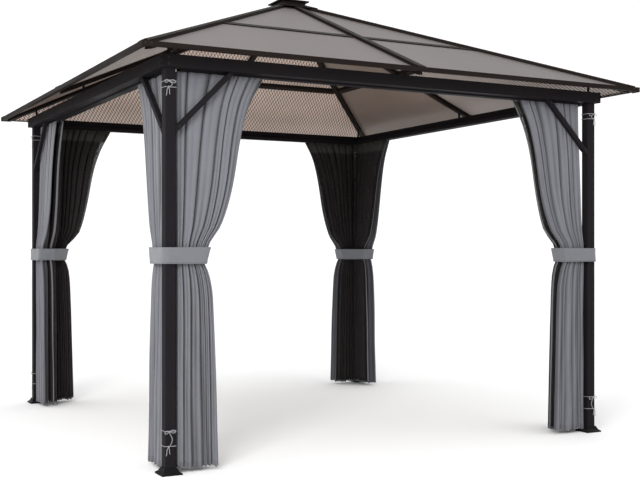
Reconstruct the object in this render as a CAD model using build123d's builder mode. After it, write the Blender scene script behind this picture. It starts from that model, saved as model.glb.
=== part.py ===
"""Square hardtop gazebo: four posts, a beam frame, a hipped roof of twin-wall panels,
and tied-back curtains with netting behind them. Millimetres, +Z up, origin on the
ground at the middle of the plan, front towards -Y."""

import os
from math import cos, radians, sin, sqrt

from build123d import *

os.makedirs("parts", exist_ok=True)

# Plan and heights
post_pitch = 2600  # centre to centre, the same both ways
eave_reach = 1500  # plan centre to the outer face of the eave rail
eave_height = 1994  # top of the rafter caps at the eave
peak_height = 2644  # the four roof planes meet here
beam_underside = 1912

# Posts and feet
post_size = 52
post_corner = 4
base_plate_size = 94
base_plate_thickness = 4
foot_size = 102
foot_lip = 8
foot_knee_size = 78
foot_knee_height = 15
foot_height = 33
foot_top_size = 60
foot_wall = 1.6
foot_gap = 0.5  # between the cover and the post it slides over
foot_bore = post_size + 2 * foot_gap

# Beams, braces and curtain track
beam_width = 60
beam_depth = 60
beam_outer_face = 1349
beam_corner = 3
brace_reach = 292  # from the post's face along the beam, and as far down
brace_size = 24
brace_inner_face = 1301
track_width = 44
track_depth = 22
track_drop = 8  # below the beam's underside
track_half_length = 1240
channel_size = 14
channel_mouth = 5
channel_centres = (12, 32)  # from the track's outer face

# Roof frame
cap_width = 45  # pressed cover strip on top of each rafter
cap_height = 18
cap_chamfer = 2
flange_thickness = 3  # where a cover strip laps over the eave rail
web_width = 10
slot_height = 7  # holds the panel's edge
rafter_width = 34
rafter_depth = 52
hub_reach = 65  # plan centre to the hub's flats
hub_sides = 8
hub_bottom = 2560
hub_top = 2612
purlin_place = 840  # plan centre to the purlin's middle
purlin_cap = 6  # how far the purlin's cover stands above the panels
purlin_depth = 46
rail_depth = 24
rail_bottom = 1969
rail_top = 1991
rail_lip = 18
rail_wall = 2.5
rafter_end = 1474  # just inside the eave rail
corner_cap_leg = 58
corner_cap_wall = 2
corner_cap_bottom = 1965
corner_cap_top = 1992

# Panels
panel_thickness = 6.5
panel_edge_gap = 1
panel_top_end = 70
panel_eave_end = 1494

# Struts that carry the roof frame on the beams
strut_diameter = 14
strut_flange_diameter = 22
strut_flange_thickness = 3
corner_strut_place = 1300
middle_strut_place = 1338

# Peak cover in two tiers
collar_half = 138
collar_thickness = 6  # measured upright
neck_half = 80
neck_top = 2630
top_cap_half = 98
top_cap_rim = 8
top_cap_rise = 18

# Soft parts
curtain_top = 1903
hem_height = 15
band_bottom = 988
band_height = 82
band_thickness = 5
band_corner = 18
band_outer_corner = -42  # distances from the post's centre, inwards being positive
band_side = -32
band_end = 212
band_shoulder = 82
tie_heights = (1848, 1820, 205, 135)
tie_diameter = 3

half_pitch = post_pitch / 2
pitch = (peak_height - eave_height) / eave_reach
hip_pitch = pitch / sqrt(2)
beam_top = beam_underside + beam_depth

corners = {
    "front_left": (-1, -1),
    "front_right": (1, -1),
    "back_right": (1, 1),
    "back_left": (-1, 1),
}
sides = {"front": 0, "right": 90, "back": 180, "left": 270}


def outward(angle):
    """Level direction from the plan centre towards a side, 0 being the front."""
    return Vector(sin(radians(angle)), -cos(radians(angle)), 0)


def along(angle):
    """Level direction that runs along a side."""
    return Vector(cos(radians(angle)), sin(radians(angle)), 0)


def roof_line(reach):
    """Height of the cover strips' top at a reach from the plan centre."""
    return peak_height - pitch * reach


def section_plane(angle):
    """Upright plane across a side, with reach as x and height as y."""
    return Plane(origin=(0, 0, 0), x_dir=outward(angle), z_dir=-along(angle))


def roof_plane(angle, drop):
    """One roof slope, lowered by drop, facing up."""
    return Plane(origin=(0, 0, peak_height - drop), z_dir=outward(angle) * pitch + Vector(0, 0, 1))


def save(part, name):
    """Label a finished piece and write its STEP file."""
    part.label = name
    export_step(part, f"parts/{name}.step")


# Base plates, one under each post
with BuildPart() as base_plates:
    with BuildSketch(Plane.XY):
        with GridLocations(post_pitch, post_pitch, 2, 2):
            Rectangle(base_plate_size, base_plate_size)
    extrude(amount=base_plate_thickness)
save(base_plates.part, "base_plates")

# Posts
for name, (sx, sy) in corners.items():
    with BuildPart() as post:
        with BuildSketch(Plane.XY.offset(base_plate_thickness)):
            with Locations((sx * half_pitch, sy * half_pitch)):
                RectangleRounded(post_size, post_size, post_corner)
        extrude(amount=beam_underside - base_plate_thickness)
    save(post.part, f"post_{name}")

# Flared covers over the base plates, open below
with BuildPart() as foot:
    with BuildSketch(Plane.XY):
        Rectangle(foot_size, foot_size)
    extrude(amount=foot_lip)
    with BuildSketch(Plane.XY.offset(foot_lip)):
        Rectangle(foot_size, foot_size)
    with BuildSketch(Plane.XY.offset(foot_knee_height)):
        Rectangle(foot_knee_size, foot_knee_size)
    with BuildSketch(Plane.XY.offset(foot_height)):
        Rectangle(foot_top_size, foot_top_size)
    loft(ruled=True)
    with BuildSketch(Plane.XY):
        Rectangle(foot_size - 2 * foot_wall, foot_size - 2 * foot_wall)
    extrude(amount=foot_lip - foot_wall, mode=Mode.SUBTRACT)
    with BuildSketch(Plane.XY.offset(foot_lip - foot_wall)):
        Rectangle(foot_size - 2 * foot_wall, foot_size - 2 * foot_wall)
    with BuildSketch(Plane.XY.offset(foot_knee_height - foot_wall)):
        Rectangle(foot_knee_size - 2 * foot_wall, foot_knee_size - 2 * foot_wall)
    with BuildSketch(Plane.XY.offset(foot_height)):
        Rectangle(foot_bore, foot_bore)
    loft(ruled=True, mode=Mode.SUBTRACT)

with BuildPart() as foot_covers:
    with GridLocations(post_pitch, post_pitch, 2, 2):
        add(foot.part)
save(foot_covers.part, "foot_covers")

# Beams, mitred at the corners
for name, angle in sides.items():
    with BuildPart() as beam:
        with BuildSketch(section_plane(angle)):
            with Locations((beam_outer_face - beam_width / 2, beam_underside + beam_depth / 2)):
                RectangleRounded(beam_width, beam_depth, beam_corner)
        extrude(amount=beam_outer_face, both=True)
        for turn in (-1, 1):
            mitre = Plane(origin=(0, 0, 0), z_dir=outward(angle) + along(angle) * turn)
            split(bisect_by=mitre, keep=Keep.TOP)
    save(beam.part, f"beam_{name}")

# Knee braces at 45 degrees between the posts and the beams, two on each side
brace_half_cut = brace_size / sqrt(2)
post_face = half_pitch - post_size / 2
foot_of_brace = beam_underside - brace_reach
head_of_brace = post_face - brace_reach
with BuildPart() as knee_braces:
    for angle in sides.values():
        brace_origin = outward(angle) * brace_inner_face
        with BuildSketch(Plane(brace_origin, x_dir=along(angle), z_dir=outward(angle))):
            with BuildLine():
                Polyline(
                    (post_face, foot_of_brace - brace_half_cut),
                    (post_face, foot_of_brace + brace_half_cut),
                    (head_of_brace + brace_half_cut, beam_underside),
                    (head_of_brace - brace_half_cut, beam_underside),
                    close=True,
                )
            make_face()
            mirror(about=Plane.YZ)
        extrude(amount=brace_size)
save(knee_braces.part, "knee_braces")

# Double curtain tracks on the inner face of the beams
beam_inner_face = beam_outer_face - beam_width
track_bottom = beam_underside - track_drop
track_wall = (track_depth - channel_size) / 2
with BuildPart() as track:
    with BuildSketch(section_plane(0)):
        with Locations((beam_inner_face - track_width / 2, track_bottom + track_depth / 2)):
            Rectangle(track_width, track_depth)
        for centre in channel_centres:
            with Locations((beam_inner_face - centre, track_bottom + track_depth / 2)):
                Rectangle(channel_size, channel_size, mode=Mode.SUBTRACT)
            with Locations((beam_inner_face - centre, track_bottom + track_wall / 2)):
                Rectangle(channel_mouth, track_wall, mode=Mode.SUBTRACT)
    extrude(amount=track_half_length, both=True)

with BuildPart() as curtain_tracks:
    for angle in sides.values():
        add(track.part, rotation=(0, 0, angle))
save(curtain_tracks.part, "curtain_tracks")


def rafter_section(lateral_fall):
    """Half section of a rafter: cover strip, panel slot and bar, falling sideways on a hip."""
    cap_half = cap_width / 2
    web_half = web_width / 2
    bar_half = rafter_width / 2
    slot_bottom = cap_height + slot_height
    return [
        (0, 0),
        (cap_half - cap_chamfer, -lateral_fall * (cap_half - cap_chamfer)),
        (cap_half, -lateral_fall * cap_half - cap_chamfer),
        (cap_half, -cap_height - lateral_fall * cap_half),
        (web_half, -cap_height - lateral_fall * web_half),
        (web_half, -slot_bottom - lateral_fall * web_half),
        (bar_half, -slot_bottom - lateral_fall * bar_half),
        (bar_half, -rafter_depth),
        (0, -rafter_depth),
    ]


def lap_section(lateral_fall):
    """Half section of the thin lip of the cover strip that laps over the eave rail."""
    cap_half = cap_width / 2
    return [
        (0, 0),
        (cap_half, -lateral_fall * cap_half),
        (cap_half, -flange_thickness - lateral_fall * cap_half),
        (0, -flange_thickness),
    ]


def sloping_bar(direction, slope, start, end, outline):
    """A bar of the given half outline that falls with the roof from start to end."""
    across = Vector(-direction.Y, direction.X, 0)
    head = Plane(
        direction * start + Vector(0, 0, peak_height - slope * start),
        x_dir=across,
        z_dir=direction,
    )
    fall = direction - Vector(0, 0, slope)
    with BuildPart() as bar:
        with BuildSketch(head):
            with BuildLine():
                Polyline(*outline, close=True)
            make_face()
            mirror(about=Plane.YZ)
        extrude(amount=(end - start) * fall.length, dir=fall.normalized())
    return bar.part


# Middle rafters, one down the centre of each slope
for name, angle in sides.items():
    bar = sloping_bar(outward(angle), pitch, hub_reach, rafter_end, rafter_section(0))
    lap = sloping_bar(outward(angle), pitch, rafter_end, eave_reach, lap_section(0))
    with BuildPart() as middle_rafter:
        add(bar)
        add(lap)
    save(middle_rafter.part, f"middle_rafter_{name}")

# Hip rafters, with a cover strip that falls to both sides
hip_bar_end = rafter_end * sqrt(2) - cap_width / 2
hip_lap_end = eave_reach * sqrt(2) - cap_width / 2
for name, (sx, sy) in corners.items():
    diagonal = Vector(sx, sy, 0).normalized()
    bar = sloping_bar(diagonal, hip_pitch, hub_reach, hip_bar_end, rafter_section(hip_pitch))
    lap = sloping_bar(diagonal, hip_pitch, hip_bar_end, hip_lap_end, lap_section(hip_pitch))
    with BuildPart() as hip_rafter:
        add(bar)
        add(lap)
    save(hip_rafter.part, f"hip_rafter_{name}")

# Hub that the eight rafters run into
with BuildPart() as peak_hub:
    with BuildSketch(Plane.XY.offset(hub_bottom)):
        RegularPolygon(hub_reach, hub_sides, major_radius=False, rotation=180 / hub_sides)
    extrude(amount=hub_top - hub_bottom)
save(peak_hub.part, "peak_hub")

# Purlins, each in two lengths between the middle rafter and the hips
purlin_half_cap = cap_width / 2
purlin_half_bar = rafter_width / 2
purlin_half_web = web_width / 2


def purlin_point(reach_offset, drop):
    """A point of the purlin's section, measured down from the roof line."""
    reach = purlin_place + reach_offset
    return (reach, roof_line(reach) - drop)


hip_side = Plane(
    origin=(-cap_width / 2 * sqrt(2), 0, 0),
    z_dir=Vector(-1, -1, 0),
)
with BuildPart() as purlin_pair:
    with BuildSketch(section_plane(0)):
        with BuildLine():
            Polyline(
                purlin_point(-purlin_half_cap, cap_height - purlin_cap),
                purlin_point(purlin_half_cap, cap_height - purlin_cap),
                purlin_point(purlin_half_cap, cap_height),
                purlin_point(purlin_half_web, cap_height),
                purlin_point(purlin_half_web, cap_height + slot_height),
                purlin_point(purlin_half_bar, cap_height + slot_height),
                purlin_point(purlin_half_bar, purlin_depth),
                purlin_point(-purlin_half_bar, purlin_depth),
                purlin_point(-purlin_half_bar, cap_height + slot_height),
                purlin_point(-purlin_half_web, cap_height + slot_height),
                purlin_point(-purlin_half_web, cap_height),
                purlin_point(-purlin_half_cap, cap_height),
                close=True,
            )
        make_face()
    extrude(amount=-purlin_place - purlin_half_cap)
    split(bisect_by=Plane(origin=(cap_width / 2, 0, 0), z_dir=(1, 0, 0)), keep=Keep.TOP)
    split(bisect_by=hip_side, keep=Keep.TOP)
    mirror(about=Plane.YZ)

with BuildPart() as purlins:
    for angle in sides.values():
        add(purlin_pair.part, rotation=(0, 0, angle))
save(purlins.part, "purlins")

# Eave rails: channels that take the panels' lower edges, mitred at the corners
for name, angle in sides.items():
    with BuildPart() as eave_rail:
        with BuildSketch(section_plane(angle)):
            with BuildLine():
                Polyline(
                    (eave_reach - rail_depth, rail_bottom),
                    (eave_reach, rail_bottom),
                    (eave_reach, rail_top),
                    (eave_reach - rail_lip, rail_top),
                    (eave_reach - rail_lip, rail_top - rail_wall),
                    (eave_reach - rail_wall, rail_top - rail_wall),
                    (eave_reach - rail_wall, rail_bottom + rail_wall),
                    (eave_reach - rail_depth, rail_bottom + rail_wall),
                    close=True,
                )
            make_face()
        extrude(amount=eave_reach, both=True)
        for turn in (-1, 1):
            mitre = Plane(origin=(0, 0, 0), z_dir=outward(angle) + along(angle) * turn)
            split(bisect_by=mitre, keep=Keep.TOP)
    save(eave_rail.part, f"eave_rail_{name}")

# Covers folded round the outside of the eave rails' corners
cover_face = eave_reach + corner_cap_wall
with BuildPart() as eave_corners:
    for sx, sy in corners.values():
        with BuildSketch(Plane.XY.offset(corner_cap_bottom)):
            with BuildLine():
                Polyline(
                    (sx * cover_face, sy * cover_face),
                    (sx * cover_face, sy * (cover_face - corner_cap_leg)),
                    (sx * eave_reach, sy * (cover_face - corner_cap_leg)),
                    (sx * eave_reach, sy * eave_reach),
                    (sx * (cover_face - corner_cap_leg), sy * eave_reach),
                    (sx * (cover_face - corner_cap_leg), sy * cover_face),
                    close=True,
                )
            make_face()
        extrude(amount=corner_cap_top - corner_cap_bottom)
save(eave_corners.part, "eave_corner_covers")

# Roof panels: four sheets on each slope, held in the rafters' slots
panel_mid_edge = web_width / 2 + panel_edge_gap
panel_hip_edge = (web_width / 2 + panel_edge_gap) * sqrt(2)
purlin_edge = web_width / 2 + panel_edge_gap
panel_rows = (
    (panel_top_end, purlin_place - purlin_edge),
    (purlin_place + purlin_edge, panel_eave_end),
)
with BuildPart() as panel_set:
    with BuildSketch(Plane.XY.offset(rail_bottom)):
        for near, far in panel_rows:
            with BuildLine():
                Polyline(
                    (panel_mid_edge, -near),
                    (near - panel_hip_edge, -near),
                    (far - panel_hip_edge, -far),
                    (panel_mid_edge, -far),
                    close=True,
                )
            make_face()
        mirror(about=Plane.YZ)
    extrude(amount=peak_height - rail_bottom)
    split(bisect_by=roof_plane(0, cap_height), keep=Keep.BOTTOM)
    split(bisect_by=roof_plane(0, cap_height + panel_thickness), keep=Keep.TOP)

for name, angle in sides.items():
    with BuildPart() as roof_panels:
        add(panel_set.part, rotation=(0, 0, angle))
    save(roof_panels.part, f"roof_panels_{name}")


def strut(place_x, place_y, seat):
    """A round strut from the beam's top up to the sloping underside of a rafter."""
    with BuildPart() as piece:
        with BuildSketch(Plane.XY.offset(beam_top)):
            with Locations((place_x, place_y)):
                Circle(strut_flange_diameter / 2)
        extrude(amount=strut_flange_thickness)
        with BuildSketch(Plane.XY.offset(beam_top)):
            with Locations((place_x, place_y)):
                Circle(strut_diameter / 2)
        extrude(amount=peak_height - beam_top)
        split(bisect_by=seat, keep=Keep.BOTTOM)
    return piece.part


# Struts under the hips at the corners and under the middle rafters
struts = []
for sx, sy in corners.values():
    diagonal = Vector(sx, sy, 0).normalized()
    hip_underside = Plane(
        origin=(0, 0, peak_height - rafter_depth),
        z_dir=diagonal * hip_pitch + Vector(0, 0, 1),
    )
    struts.append(strut(sx * corner_strut_place, sy * corner_strut_place, hip_underside))
for angle in sides.values():
    place = outward(angle) * middle_strut_place
    struts.append(strut(place.X, place.Y, roof_plane(angle, rafter_depth)))

with BuildPart() as roof_struts:
    for piece in struts:
        add(piece)
save(roof_struts.part, "roof_struts")


def pyramid(half_size, underside, apex, slope):
    """A square block with four slopes that meet at the apex."""
    with BuildPart() as block:
        with BuildSketch(Plane.XY.offset(underside)):
            Rectangle(2 * half_size, 2 * half_size)
        extrude(amount=apex - underside)
        for angle in sides.values():
            face = Plane(origin=(0, 0, apex), z_dir=outward(angle) * slope + Vector(0, 0, 1))
            split(bisect_by=face, keep=Keep.BOTTOM)
    return block.part


# Peak collar: a folded sheet that lies on the rafters, with a low square neck
collar_rim = roof_line(collar_half)
collar_outer = pyramid(collar_half, collar_rim, peak_height + collar_thickness, pitch)
collar_inner = pyramid(collar_half, collar_rim - collar_thickness, peak_height, pitch)
with BuildPart() as peak_collar:
    add(collar_outer)
    with BuildSketch(Plane.XY.offset(roof_line(neck_half))):
        Rectangle(2 * neck_half, 2 * neck_half)
    extrude(amount=neck_top - roof_line(neck_half))
    add(collar_inner, mode=Mode.SUBTRACT)
    split(bisect_by=Plane.XY.offset(neck_top), keep=Keep.BOTTOM)
save(peak_collar.part, "peak_collar")

# Top cap: a low square cap on the collar's neck
top_cap_body = pyramid(
    top_cap_half,
    neck_top,
    neck_top + top_cap_rim + top_cap_rise,
    top_cap_rise / top_cap_half,
)
with BuildPart() as top_cap:
    add(top_cap_body)
save(top_cap.part, "top_cap")

# Soft parts hang along both sides of each post. A section gives its height, its reach
# along the beam from the post's centre, and its reach inwards from the same centre.
curtain_sections = (
    (curtain_top, (40, 520), (8, 32)),
    (1760, (40, 425), (8, 34)),
    (1620, (40, 378), (6, 36)),
    (1350, (40, 325), (2, 38)),
    (1180, (40, 275), (-6, 38)),
    (band_bottom + band_height, (40, 196), (-16, 38)),
    (band_bottom, (40, 196), (-16, 38)),
    (820, (40, 228), (-16, 38)),
    (hem_height, (40, 248), (-18, 38)),
)
netting_sections = (
    (curtain_top, (92, 520), (42, 66)),
    (1760, (92, 430), (42, 76)),
    (1620, (92, 384), (42, 80)),
    (1350, (92, 330), (42, 85)),
    (1180, (92, 278), (42, 88)),
    (band_bottom + band_height, (92, 186), (42, 88)),
    (band_bottom, (92, 186), (42, 88)),
    (820, (92, 230), (42, 88)),
    (hem_height, (92, 252), (42, 90)),
)


def hanging_cloth(sections, sx, sy, runs_along_x):
    """A closed solid through rectangular sections, beside the post at corner (sx, sy)."""
    with BuildPart() as cloth:
        for height, reach, depth in sections:
            reach_middle = half_pitch - sum(reach) / 2
            depth_middle = half_pitch - sum(depth) / 2
            reach_size = reach[1] - reach[0]
            depth_size = depth[1] - depth[0]
            with BuildSketch(Plane.XY.offset(height)):
                if runs_along_x:
                    with Locations((sx * reach_middle, sy * depth_middle)):
                        Rectangle(reach_size, depth_size)
                else:
                    with Locations((sx * depth_middle, sy * reach_middle)):
                        Rectangle(depth_size, reach_size)
        loft(ruled=True)
    return cloth.part


for kind, sections in (("curtain", curtain_sections), ("netting", netting_sections)):
    for name, (sx, sy) in corners.items():
        lengths = [hanging_cloth(sections, sx, sy, flag) for flag in (True, False)]
        with BuildPart() as hanging:
            for length in lengths:
                add(length)
        save(hanging.part, f"{kind}_{name}")

# Tie-back bands, each round a post and the cloth on both sides of it
with BuildPart() as tie_bands:
    for sx, sy in corners.values():
        with BuildSketch(Plane.XY.offset(band_bottom)) as band_outline:
            with BuildLine():
                Polyline(
                    *[
                        (sx * (half_pitch - u), sy * (half_pitch - v))
                        for u, v in (
                            (band_outer_corner, band_outer_corner),
                            (band_end, band_side),
                            (band_end, band_shoulder),
                            (band_shoulder, band_end),
                            (band_side, band_end),
                        )
                    ],
                    close=True,
                )
            make_face()
            fillet(band_outline.vertices(), radius=band_corner)
            offset(amount=-band_thickness, mode=Mode.SUBTRACT)
        extrude(amount=band_height)
save(tie_bands.part, "tie_bands")

# String ties round the posts
tie_half = post_size / 2 + tie_diameter
with BuildSketch(Plane.XY) as tie_loop:
    RectangleRounded(2 * tie_half, 2 * tie_half, post_corner + tie_diameter)
with BuildPart() as tie:
    with BuildSketch(Plane(origin=(0, -tie_half, 0), x_dir=(0, 1, 0), z_dir=(1, 0, 0))):
        Circle(tie_diameter / 2)
    sweep(path=tie_loop.wires()[0])

with BuildPart() as string_ties:
    for height in tie_heights:
        with Locations((0, 0, height)):
            with GridLocations(post_pitch, post_pitch, 2, 2):
                add(tie.part)
save(string_ties.part, "string_ties")
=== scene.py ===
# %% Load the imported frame
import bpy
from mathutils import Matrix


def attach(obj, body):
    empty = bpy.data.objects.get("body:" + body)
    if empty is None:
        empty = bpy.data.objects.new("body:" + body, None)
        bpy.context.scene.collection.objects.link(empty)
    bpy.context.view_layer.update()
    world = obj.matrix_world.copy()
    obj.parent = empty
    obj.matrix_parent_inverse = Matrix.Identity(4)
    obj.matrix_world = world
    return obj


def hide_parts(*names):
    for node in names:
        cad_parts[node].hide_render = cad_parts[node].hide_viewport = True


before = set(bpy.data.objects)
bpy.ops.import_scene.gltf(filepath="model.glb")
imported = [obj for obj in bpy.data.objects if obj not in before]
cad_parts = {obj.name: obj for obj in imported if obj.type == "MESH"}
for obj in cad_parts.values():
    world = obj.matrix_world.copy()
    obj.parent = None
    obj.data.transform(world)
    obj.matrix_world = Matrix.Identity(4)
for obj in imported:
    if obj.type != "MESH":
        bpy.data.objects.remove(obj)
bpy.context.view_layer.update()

# %% [markdown]
# # A hardtop garden gazebo
# Four square posts carry a ring of beams, and above it a low hipped roof of twin-wall
# plastic sheet. Curtains and insect netting hang from two tracks inside the beams and
# are tied back to the posts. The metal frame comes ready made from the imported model,
# so this lesson gives it a finish and models what is soft or small: the cloth, the
# cords and the fasteners.

# %% Libraries
import math

import bpy
import numpy as np
from mathutils import Matrix, Vector


def new_object(name, data):
    """An object for the data, linked to the scene."""
    piece = bpy.data.objects.new(name, data)
    bpy.context.scene.collection.objects.link(piece)
    return piece


print("Blender", bpy.app.version_string)

# %% [markdown]
# ## The camera
# The eye stands low, a little above a metre, so only the front slope of the roof is seen
# from outside and the other three from below. The view is level, so the posts stay
# upright in the picture, and a small lens shift does the framing, as on a view camera.

# %% Camera
PICTURE_WIDTH = 640
PICTURE_HEIGHT = 478
FOCAL_PIXELS = 1037.36
CENTRE_X = 280.93
CENTRE_Y = 252.04
VIEW_TURN = 26.736  # degrees clockwise from +Y
EYE = (-3.0261, -5.9014, 1.0455)

lens = bpy.data.cameras.new("eye_level_lens")
lens.sensor_width = 36
lens.lens = FOCAL_PIXELS * lens.sensor_width / PICTURE_WIDTH
lens.shift_x = (PICTURE_WIDTH / 2 - CENTRE_X) / PICTURE_WIDTH
lens.shift_y = (CENTRE_Y - PICTURE_HEIGHT / 2) / PICTURE_WIDTH
lens.clip_end = 200
camera = new_object("eye_level_camera", lens)
camera.location = EYE
camera.rotation_euler = (math.radians(90), 0, -math.radians(VIEW_TURN))
bpy.context.scene.camera = camera
print("lens", round(lens.lens, 2), "mm, shift", round(lens.shift_x, 4), round(lens.shift_y, 4))

# %% [markdown]
# ## Floor and light
# A plain pale floor and a white surround give the soft, nearly shadowless light of a
# catalogue studio. One large lamp to the front left gives the folds of the cloth their
# shading.

# %% Surround and lamp
LAMP_PLACE = Vector((-5.5, -6.5, 4.0))
LAMP_TARGET = Vector((0, 0, 1.2))

surround = bpy.data.worlds.new("white_surround")
surround.use_nodes = True
background = surround.node_tree.nodes["Background"]
background.inputs["Color"].default_value = (1, 1, 1, 1)
background.inputs["Strength"].default_value = 1.12
bpy.context.scene.world = surround
bpy.context.scene.view_settings.view_transform = "Standard"
bpy.context.scene.view_settings.look = "None"

lamp = bpy.data.lights.new("front_lamp", "AREA")
lamp.shape = "SQUARE"
lamp.size = 3.0
lamp.energy = 460
holder = new_object("front_lamp", lamp)
holder.location = LAMP_PLACE
holder.rotation_euler = (LAMP_TARGET - LAMP_PLACE).to_track_quat("-Z", "Y").to_euler()
print("lamp", lamp.name, lamp.energy, "W")

# %% Floor
bpy.ops.object.select_all(action="DESELECT")
bpy.ops.mesh.primitive_plane_add(size=80, location=(0, 0, 0))
floor = bpy.context.active_object
floor.name = "pale_floor"
floor_paint = bpy.data.materials.new("pale_floor_paint")
floor_paint.use_nodes = True
floor_shader = floor_paint.node_tree.nodes["Principled BSDF"]
floor_shader.inputs["Base Color"].default_value = (0.95, 0.95, 0.95, 1)
floor_shader.inputs["Roughness"].default_value = 0.9
floor.data.materials.append(floor_paint)
print("floor", [round(v) for v in floor.dimensions])

# %% [markdown]
# ## Shared effects as node groups
# Paint texture, dust, cloth weave and the pattern in the roof sheets are each built once
# as a small group of nodes with named inputs. A material then places the group with its
# own values, as a maker would use one tool on many pieces.

# %% Group helpers
def new_group(name, inputs, outputs):
    """An empty group. Inputs are (name, default), None for a vector; outputs are names."""
    group = bpy.data.node_groups.new(name, "ShaderNodeTree")
    for socket_name, default in inputs:
        kind = "NodeSocketVector" if default is None else "NodeSocketFloat"
        socket = group.interface.new_socket(socket_name, in_out="INPUT", socket_type=kind)
        if default is not None:
            socket.default_value = default
    for socket_name in outputs:
        group.interface.new_socket(socket_name, in_out="OUTPUT", socket_type="NodeSocketFloat")
    taken, given = (group.nodes.new(f"NodeGroup{kind}") for kind in ("Input", "Output"))
    return group, taken.outputs, given.inputs


def feed(tree, socket, value):
    """Link a socket to another one, or set its value."""
    if isinstance(value, bpy.types.NodeSocket):
        tree.links.new(value, socket)
    else:
        socket.default_value = value


def math_node(tree, operation, *values):
    """A Math node fed with sockets or numbers, giving its output socket."""
    node = tree.nodes.new("ShaderNodeMath")
    node.operation = operation
    for socket, value in zip(node.inputs, values):
        feed(tree, socket, value)
    return node.outputs[0]


def ramp_between(tree, value, low, high, start=0.0, end=1.0):
    """A smooth step of a socket from low to high."""
    node = tree.nodes.new("ShaderNodeMapRange")
    node.interpolation_type = "SMOOTHSTEP"
    settings = {"Value": value, "From Min": low, "From Max": high, "To Min": start, "To Max": end}
    for socket_name, setting in settings.items():
        feed(tree, node.inputs[socket_name], setting)
    return node.outputs["Result"]


def noise_node(tree, vector, scale, detail=3.0):
    """A Noise texture's value socket."""
    node = tree.nodes.new("ShaderNodeTexNoise")
    settings = {"Vector": vector, "Scale": scale, "Detail": detail, "Roughness": 0.55}
    for socket_name, setting in settings.items():
        feed(tree, node.inputs[socket_name], setting)
    return node.outputs[0]


def split_axes(tree, vector):
    """The X, Y and Z sockets of a vector, by name."""
    node = tree.nodes.new("ShaderNodeSeparateXYZ")
    tree.links.new(vector, node.inputs["Vector"])
    return node.outputs


print("group helpers ready")

# %% [markdown]
# Powder coat is sprayed on dry and baked, which leaves a fine orange peel and a faint
# cloudiness. Two sizes of noise stand for them. A third output marks where dust settles.

# %% Powder coat group
coat_group, coat_in, coat_out = new_group(
    "powder_coat",
    [("Place", None), ("Cloud size", 0.35), ("Peel size", 0.0035)],
    ["Cloud", "Peel", "Dust"],
)
cloud_scale = math_node(coat_group, "DIVIDE", 1.0, coat_in["Cloud size"])
peel_scale = math_node(coat_group, "DIVIDE", 1.0, coat_in["Peel size"])
cloud = noise_node(coat_group, coat_in["Place"], cloud_scale, detail=4)
peel = noise_node(coat_group, coat_in["Place"], peel_scale, detail=1)
facing = coat_group.nodes.new("ShaderNodeNewGeometry")
upright = split_axes(coat_group, facing.outputs["Normal"])["Z"]
settled = ramp_between(coat_group, upright, 0.55, 1.0)
patchy = ramp_between(coat_group, cloud, 0.35, 0.7)
dust = math_node(coat_group, "MULTIPLY", settled, patchy)
coat_group.links.new(cloud, coat_out["Cloud"])
coat_group.links.new(peel, coat_out["Peel"])
coat_group.links.new(dust, coat_out["Dust"])
print("powder coat group:", len(coat_group.nodes), "nodes")

# %% [markdown]
# The roof sheets are two thin skins with ribs between them. Looked through against the
# light, the ribs of one skin and the grain of the other cross, and the sheet shows a
# fine lattice of slanting lines. The group draws the two sets of lines from the place on
# the slope, and the straight ribs as a third set.

# %% Twin-wall sheet group
sheet_group, sheet_in, sheet_out = new_group(
    "twin_wall_sheet",
    [("Place", None), ("Line pitch", 0.022), ("Line slant", 1.3), ("Rib pitch", 0.027)],
    ["Lattice", "Ribs", "Cloud"],
)
place = split_axes(sheet_group, sheet_in["Place"])
slanted = math_node(sheet_group, "DIVIDE", place["Y"], sheet_in["Line slant"])
line_masks = []
for operation in ("ADD", "SUBTRACT"):
    along_line = math_node(sheet_group, operation, place["X"], slanted)
    turns = math_node(sheet_group, "DIVIDE", along_line, sheet_in["Line pitch"])
    wave = math_node(sheet_group, "PINGPONG", turns, 0.5)
    line_masks.append(ramp_between(sheet_group, wave, 0.14, 0.26))
lattice = math_node(sheet_group, "MULTIPLY", *line_masks)
rib_turns = math_node(sheet_group, "DIVIDE", place["X"], sheet_in["Rib pitch"])
rib_wave = math_node(sheet_group, "PINGPONG", rib_turns, 0.5)
ribs = ramp_between(sheet_group, rib_wave, 0.12, 0.36)
sheet_cloud = noise_node(sheet_group, sheet_in["Place"], 1.6)
sheet_group.links.new(lattice, sheet_out["Lattice"])
sheet_group.links.new(ribs, sheet_out["Ribs"])
sheet_group.links.new(sheet_cloud, sheet_out["Cloud"])
print("twin-wall group:", len(sheet_group.nodes), "nodes")

# %% [markdown]
# Cloth is a weave of threads. The group reads the cloth's own map, which is in metres
# of flat cloth, so the threads follow every fold. It also marks the stitched hems.

# %% Weave group
weave_group, weave_in, weave_out = new_group(
    "woven_cloth",
    [("Cloth place", None), ("Thread pitch", 0.0012), ("Width", 1.25), ("Hem", 0.02)],
    ["Threads", "Hem line", "Mottle"],
)
cloth_place = split_axes(weave_group, weave_in["Cloth place"])
thread_waves = []
for axis in ("X", "Y"):
    turns = math_node(weave_group, "DIVIDE", cloth_place[axis], weave_in["Thread pitch"])
    angle = math_node(weave_group, "MULTIPLY", turns, 2 * math.pi)
    thread_waves.append(math_node(weave_group, "SINE", angle))
threads = math_node(weave_group, "MULTIPLY", *thread_waves)
from_right = math_node(weave_group, "SUBTRACT", weave_in["Width"], cloth_place["X"])
from_edge = math_node(weave_group, "MINIMUM", cloth_place["X"], from_right)
from_foot = math_node(weave_group, "MINIMUM", from_edge, cloth_place["Y"])
off_line = math_node(weave_group, "SUBTRACT", from_foot, weave_in["Hem"])
hem_gap = math_node(weave_group, "ABSOLUTE", off_line)
hem_line = ramp_between(weave_group, hem_gap, 0.0008, 0.0022, start=1.0, end=0.0)
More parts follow.
